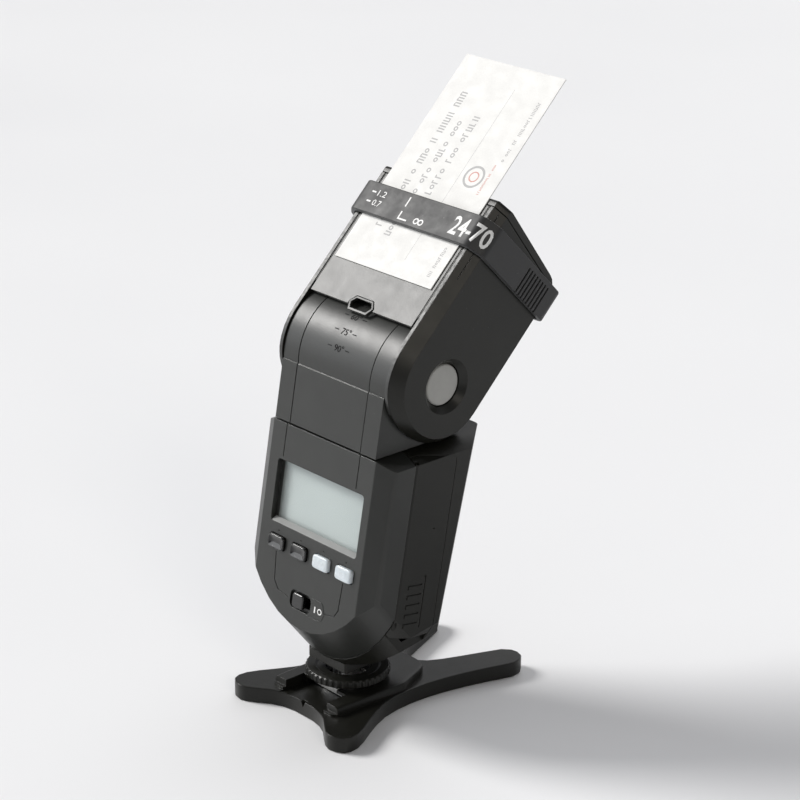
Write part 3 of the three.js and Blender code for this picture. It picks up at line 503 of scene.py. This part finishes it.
def numerals(bm, text, size, centre, thick, wrap, weight=0.0, cuts=1):
    """Adds text as thin solids, scaled to a width and height; cuts let it bend along its length."""
    curve = bpy.data.curves.new("numerals", "FONT")
    curve.body = text
    curve.align_x = "CENTER"
    curve.align_y = "CENTER"
    curve.offset = weight
    curve.resolution_u = 3
    holder = bpy.data.objects.new("numerals", curve)
    mesh = bpy.data.meshes.new_from_object(holder)
    low = [min(v.co[k] for v in mesh.vertices) for k in (0, 1)]
    high = [max(v.co[k] for v in mesh.vertices) for k in (0, 1)]
    flat = bmesh.new()
    flat.from_mesh(mesh)
    bmesh.ops.remove_doubles(flat, verts=flat.verts, dist=1e-5)
    for k in range(1, cuts):
        spot = (low[0] + (high[0] - low[0]) * k / cuts, 0, 0)
        every = flat.verts[:] + flat.edges[:] + flat.faces[:]
        bmesh.ops.bisect_plane(flat, geom=every, plane_co=spot, plane_no=(1, 0, 0))
    sides = bmesh.ops.extrude_face_region(flat, geom=flat.faces[:])
    raised = {v for v in sides["geom"] if isinstance(v, bmesh.types.BMVert)}
    for v in flat.verts:
        a, b = (centre[k] + (v.co[k] - (low[k] + high[k]) / 2) * size[k] / (high[k] - low[k])
                for k in (0, 1))
        v.co = wrap(a, b, thick if v in raised else 0.0)
    made = bpy.data.meshes.new("numerals")
    flat.to_mesh(made)
    flat.free()
    bm.from_mesh(made)
    for data in (made, mesh):
        bpy.data.meshes.remove(data)
    bpy.data.objects.remove(holder)
    bpy.data.curves.remove(curve)


def ribbon(bm, stations, across, thick):
    """Adds a strip through stations (point, normal, side), between two distances to the side."""
    corners = ((0, 0.0), (1, 0.0), (1, thick), (0, thick))
    capped(bm, [[bm.verts.new(point + side * across[k] + normal * h) for k, h in corners]
                for point, normal, side in stations])


def filleted(points, steps=6):
    """Polyline through (a, b, radius) corners with each corner rounded."""
    path = []
    for i, (a, b, r) in enumerate(points):
        here = Vector((a, b))
        if not r:
            path.append(here)
            continue
        d0 = (Vector(points[i - 1][:2]) - here).normalized()
        d1 = (Vector(points[i + 1][:2]) - here).normalized()
        half = math.acos(max(-1.0, min(1.0, d0.dot(d1)))) / 2
        centre = here + (d0 + d1).normalized() * (r / math.sin(half))
        start, end = (here + d * (r / math.tan(half)) - centre for d in (d0, d1))
        sweep = start.angle_signed(end)
        for k in range(steps + 1):
            path.append(centre + Matrix.Rotation(-sweep * k / steps, 2) @ start)
    return path


# Wraps: a point (a, b) on a surface of the flash, and a height out of it.
def on_panel(a, b, h):
    return Vector((a, PANEL_Y - LIFT - h, b))


def on_window(a, b, h):
    return Vector((a, WINDOW_Y - h, b))


def on_wall(a, b, h):
    return Vector((WALL_X - h, a, b))


def on_drum(a, b, h):
    """a runs across, b up round the back of the drum from its rearmost point."""
    t, r = b / DRUM_R, DRUM_R + LIFT + h
    return Vector((a, -r * math.cos(t), r * math.sin(t)))


def on_card(a, b, h):
    return Vector((a, b, CARD_TOP + LIFT / 2 + h))


BAND_PATH = filleted([(0, BAND_TOP, 0), (29.7, BAND_TOP, BAND_R), (BAND_SIDE, 21.5, BAND_R),
                      (BAND_SIDE, -20, 0)])


def on_band(a, b, h):
    """a runs across the top of the band from its middle, and on down its right-hand side."""
    if a <= 0:
        return Vector((a, b, BAND_TOP + LIFT + h))
    left = a
    for one, two in zip(BAND_PATH, BAND_PATH[1:]):
        step = (two - one).length
        if left <= step:
            break
        left -= step
    ahead = (two - one).normalized()
    spot = one + ahead * left + Vector((-ahead.y, ahead.x)) * (LIFT + h)
    return Vector((spot.x, b, spot.y))


# ------------------------------------------------------------------ details of the body
def power_marks():
    """Power marks beside the switch."""
    bm = bmesh.new()
    numerals(bm, "I", (0.6, 2.3), (6.6, 41.3), INK, on_panel)
    ring(bm, (9.2, 41.3), 1.15, 0.75, INK, on_panel, 24)
    piece("switch_marks", bm, BODY, "flash_body", "white_ink")


def switch_outline():
    """Raised line round the power marks, sunk a little into the panel."""
    half, proud, sunk = 0.13, 0.13, 0.02
    line = filleted([(4.6, 44.9, 0), (10.2, 44.9, 1.6), (11.6, 41.0, 1.8), (10.4, 38.0, 1.6),
                     (2.4, 37.6, 0)])
    stations = []
    for k, spot in enumerate(line):
        ahead = (line[min(k + 1, len(line) - 1)] - line[max(k - 1, 0)]).normalized()
        stations.append((on_panel(*spot, -sunk), Vector((0, -1, 0)), Vector((-ahead.y, 0, ahead.x))))
    bm = bmesh.new()
    ribbon(bm, stations, (-half, half), proud)
    piece("switch_outline", bm, BODY, "flash_body", "panel")


def display_surround():
    """Sloped ledge under the display, pale grey as a painted highlight, and the border round its window.
    """
    (left, right), (low, high) = LCD_X, LCD_Z
    foot, ledge = low + 0.04, low + 1.35
    section = [(-28.95, foot), (-26.75, foot), (-26.75, ledge), (-27.0, ledge)]
    bm = bmesh.new()
    capped(bm, [[bm.verts.new((x, y, z)) for y, z in section] for x in (left + 0.5, right - 0.5)])
    piece("display_ledge", bm, BODY, "flash_body", "ledge")

    bm = bmesh.new()
    gap, base = 0.05, low + 1.4
    for strip in (bar(left + gap, base, left + 1.6, high - gap),
                  bar(right - 0.7, base, right - gap, high - gap),
                  bar(left + 1.6 + gap, high - 0.6, right - 0.7 - gap, high - gap)):
        slab(bm, strip, 0.12, on_window)
    piece("display_border", bm, BODY, "flash_body", "panel")


def button_cap(number, x, dish, finish):
    """Cap of a panel button; dish is how far its middle is scooped, or raised if negative."""
    half_w, half_h, proud, squareness, steps = 4.25, 2.55, 1.35, 0.36, 56
    # Share of the way out to the edge, and drop below the top there
    profile = [(0.2, 0.0), (0.4, 0.0), (0.6, 0.0), (0.75, 0.0), (0.86, 0.03), (0.93, 0.12),
               (0.975, 0.3), (0.998, 0.6), (1.0, 2.6)]
    bm = bmesh.new()
    rings = []
    for reach, drop in profile:
        loop = []
        for k in range(steps):
            t = 2 * math.pi * (k + 0.5) / steps
            a, b = (half * reach * math.copysign(abs(way) ** squareness, way)
                    for half, way in ((half_w, math.cos(t)), (half_h, math.sin(t))))
            down = max(0.0, 1 - (b / (half_h * 0.86)) ** 2)
            along = max(0.0, 1 - (a / (half_w * 0.93)) ** 6)
            y = PANEL_Y - proud + drop + dish * down * along
            loop.append(bm.verts.new((x + a, y, BUTTON_Z + b)))
        rings.append(loop)
    middle = bm.verts.new((x, PANEL_Y - proud + dish, BUTTON_Z))
    for k in range(steps):
        bm.faces.new((middle, rings[0][k], rings[0][(k + 1) % steps]))
    tube(bm, rings)
    bm.faces.new(rings[-1][::-1])
    for face in bm.faces:
        face.smooth = len(face.verts) < 5
    cap = piece(f"button_cap_{number}", bm, BODY, f"button_{number}", finish)
    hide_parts(f"panel_button_{number}")


def seam_lip():
    """Lip behind the seam between the rear and front mouldings, on the side without the door."""
    overlap, foot, top, thick = 1.1, 39.0, 103.5, 0.95
    bm = bmesh.new()
    slab(bm, bar(SEAM_Y - overlap, foot, SEAM_Y + overlap, top), thick, on_wall)
    piece("seam_lip", bm, BODY, "flash_body", "inner")


# ------------------------------------------------------------------ details of the neck and head
def drum_scale():
    """Angles on the back of the drum, read at the rear edge of the head."""
    size, proud = (4.6, 2.5), 0.08
    dash_start, dash_end, dash_half = 3.6, 5.6, 0.16
    bm = bmesh.new()
    for text, arc in (("45", 29.7), ("60°", 23.4), ("75°", 17.1), ("90°", 10.8)):
        numerals(bm, text, size, (0.3, arc), proud, on_drum)
        for side in (-1, 1):
            dash = bar(side * dash_start, arc - dash_half, side * dash_end, arc + dash_half)
            slab(bm, dash, proud, on_drum)
    piece("drum_angle_scale", bm, DRUM, "neck", "black_ink")


def window_frame():
    """Raised frame of the angle window; it sinks into the top panel to clear the card."""
    base, rear, side, front = 23.75, 25.2, 25.0, 24.83
    outer = [(-6.3, 9.1, side), (-4.3, 11.8, front), (4.3, 11.8, front), (6.3, 9.1, side),
             (4.7, 6.0, rear), (-4.7, 6.0, rear)]
    inner = [(-5.3, 9.1, side), (-3.8, 11.0, front + 0.03), (3.8, 11.0, front + 0.03),
             (5.3, 9.1, side), (4.1, 6.9, rear), (-4.1, 6.9, rear)]
    bm = bmesh.new()
    outer_low, outer_top, inner_low, inner_top = (
        [bm.verts.new((a, b, top if raised else base)) for a, b, top in loop]
        for loop in (outer, inner) for raised in (False, True))
    tube(bm, [outer_low, outer_top, inner_top, inner_low, outer_low])
    obj = piece("angle_window_frame", bm, HEAD, "head", "panel")
    ease(obj, 0.12, 3)


def cheek_edge(side, name):
    """Polished strip along the inner edge of a cheek, from the nose round the back of the head."""
    strip, proud = (27.35, 28.75), 0.07
    across = Vector((side, 0, 0))
    up = Vector((0, 0, 1))
    stations = [(Vector((0, u, HEAD_TOP)), up, across) for u in (58.6, 40, 20, 4, 0)]
    for k in range(1, 13):
        degrees = 90 + 5 * k
        # The head's radius shrinks smoothly from its top to the back of the neck.
        blend = max(0.0, min(1.0, (degrees - 120) / 65))
        radius = HEAD_TOP - 3.3 * blend * blend * (3 - 2 * blend)
        t = math.radians(degrees)
        out = Vector((0, math.cos(t), math.sin(t)))
        stations.append((out * radius, out, across))
    bm = bmesh.new()
    ribbon(bm, stations, strip, proud)
    piece(f"cheek_edge_{name}", bm, HEAD, "head", "rim")


def band_marks():
    """Focusing marks and focal lengths printed on the band."""
    bm = bmesh.new()
    mid = BAND_MIDDLE
    for text, u in (("1.2", mid + 2.2), ("0.7", mid - 1.8)):
        slab(bm, bar(-24.6, u - 0.3, -22.6, u + 0.3), INK, on_band)
        numerals(bm, text, (4.2, 2.4), (-19.3, u), INK, on_band)
    for mark in (bar(-6.2, mid + 0.4, -5.6, mid + 4.4), bar(-6.2, mid - 4.9, -5.6, mid - 1.6),
                 bar(-5.6, mid - 4.9, -1.6, mid - 4.3)):
        slab(bm, mark, INK, on_band)
    for side in (-1, 1):
        ring(bm, (3.9 + side * 1.15, mid - 3.6), 1.25, 0.75, INK, on_band, 20)
    numerals(bm, "24-70", (17.6, 7.6), (27.6, mid - 0.3), INK, on_band, weight=0.018, cuts=64)
    piece("band_marks", bm, HEAD, "head", "white_ink")


# ------------------------------------------------------------------ print on the card
def glyph(bm, x, u, tall, wide):
    """One meaningless letter-like mark; text runs along u and its letters stand towards -x."""
    stroke = wide * 0.3
    low, high = x + tall / 2, x - tall / 2
    kind = random.randrange(5)
    if kind in (0, 3):
        ring(bm, (x, u + wide / 2), wide * 0.58, wide * 0.28, CARD_INK, on_card, 12)
    else:
        slab(bm, bar(high, u, low, u + stroke), CARD_INK, on_card)
    if kind in (1, 4):
        top = high + (0.2 if kind == 4 else 0)
        slab(bm, bar(top, u + wide - stroke, low, u + wide), CARD_INK, on_card)
    if kind in (2, 4):
        spot = random.choice((high, low - stroke))
        across = bar(spot, u + stroke + 0.02, spot + stroke, u + wide - stroke - 0.02)
        slab(bm, across, CARD_INK, on_card)


def greeked(bm, x, start, end, tall, wide):
    """A line of glyphs with word gaps."""
    u = start
    while u < end:
        glyph(bm, x, u, tall, wide)
        u += wide * (2.6 if random.random() < 0.13 else 1.32)


def card_print():
    """Greeked lines, a rule, and a plain ring with a smaller one in it."""
    random.seed(7)
    ring_centre, ring_ink = (12.9, 67.5), 0.012
    bm = bmesh.new()
    for x, start, end in ((-14.6, 39, 97), (-8.3, 36.5, 85), (-2.2, 56, 92)):
        greeked(bm, x, start, end, 3.1, 1.75)
    for start, end in ((27, 39), (76, 101)):
        greeked(bm, 20.6, start, end, 1.5, 0.95)
    slab(bm, bar(6.3, 30, 6.42, 104), CARD_INK, on_card)
    piece("card_print", bm, HEAD, "card", "grey_ink")

    bm = bmesh.new()
    ring(bm, ring_centre, 4.6, 3.7, ring_ink, on_card, 48)
    piece("card_ring", bm, HEAD, "card", "grey_ink")

    bm = bmesh.new()
    ring(bm, ring_centre, 2.2, 1.7, ring_ink, on_card, 32)
    greeked(bm, 18.9, 61.5, 73.5, 1.0, 0.65)
    piece("card_accent", bm, HEAD, "card", "rust_ink")


drum_scale()
power_marks()
switch_outline()
display_surround()
for number, x in enumerate(BUTTON_X, 1):  # two dished black buttons, then two pillowed milky ones
    if number < 3:
        button_cap(number, x, 0.75, "gloss")
    else:
        button_cap(number, x, -0.12, "milky")
window_frame()
seam_lip()
cheek_edge(-1, "left")
cheek_edge(1, "right")
band_marks()
card_print()


# ------------------------------------------------------------------ floor, light and camera
def floor():
    """Plain pale floor just below the stand."""
    half_width, drop = 12000, 0.05
    n = Nodes("pale_floor")
    soft = n.noise(3.0, 3.0)
    colour = n.mix(soft, (0.8, 0.805, 0.82, 1), (0.83, 0.835, 0.845, 1))
    n.set(Base_Color=colour, Roughness=n.spread(soft, 0.3, 0.7, 0.5, 0.6))
    bm = bmesh.new()
    bmesh.ops.create_grid(bm, x_segments=8, y_segments=8, size=half_width)
    mesh = mesh_of("floor", bm, Matrix.Translation((0, 0, -drop)))
    obj = bpy.data.objects.new("floor", mesh)
    obj.data.materials.append(n.material)
    scene.collection.objects.link(obj)


def softbox(name, towards, strength, spread, colour):
    """Large distant softbox, as a wide sun: lights the floor evenly and casts one soft shadow."""
    light = bpy.data.lights.new(name, "SUN")
    light.energy = strength
    light.angle = math.radians(spread)
    light.color = colour
    obj = bpy.data.objects.new(name, light)
    obj.rotation_euler = Vector(towards).to_track_quat("Z", "Y").to_euler()
    scene.collection.objects.link(obj)


def camera():
    """The photograph's viewpoint, from a fit of the main dimensions to it."""
    frame_px, focal_px, film_width = 800, 2489.27, 36.0
    position = Vector((614.593, -542.085, 437.808)) * MM
    forward = Vector((-0.685106, 0.631523, -0.363055)).normalized()
    right = forward.cross(Vector((0, 0, 1))).normalized()
    up = right.cross(forward)
    roll = math.radians(0.7105)
    across = right * math.cos(roll) + up * math.sin(roll)
    above = up * math.cos(roll) - right * math.sin(roll)
    data = bpy.data.cameras.new("camera")
    data.sensor_width = film_width
    data.lens = focal_px / frame_px * film_width
    data.clip_start, data.clip_end = 0.01, 60.0
    obj = bpy.data.objects.new("camera", data)
    axes = Matrix((across, above, -forward)).transposed().to_4x4()
    obj.matrix_world = Matrix.Translation(position) @ axes
    scene.collection.objects.link(obj)
    scene.camera = obj


def sky():
    """Even room light."""
    world = bpy.data.worlds.new("pale_room")
    scene.world = world
    world.use_nodes = True
    back = world.node_tree.nodes["Background"]
    back.inputs["Color"].default_value = (0.93, 0.945, 1.0, 1)
    back.inputs["Strength"].default_value = 0.26


scene.view_settings.view_transform = "Standard"
floor()
sky()
softbox("key", (-0.69, -0.39, 0.61), 2.9, 21, (1.0, 0.985, 0.965))
softbox("low", (-0.69, -0.67, 0.28), 0.75, 34, (0.96, 0.98, 1.0))
softbox("back", (-0.25, 0.62, 0.74), 0.7, 60, (1.0, 1.0, 1.0))
softbox("fill", (0.8, -0.26, 0.53), 0.42, 20, (1.0, 0.93, 0.82))
camera()
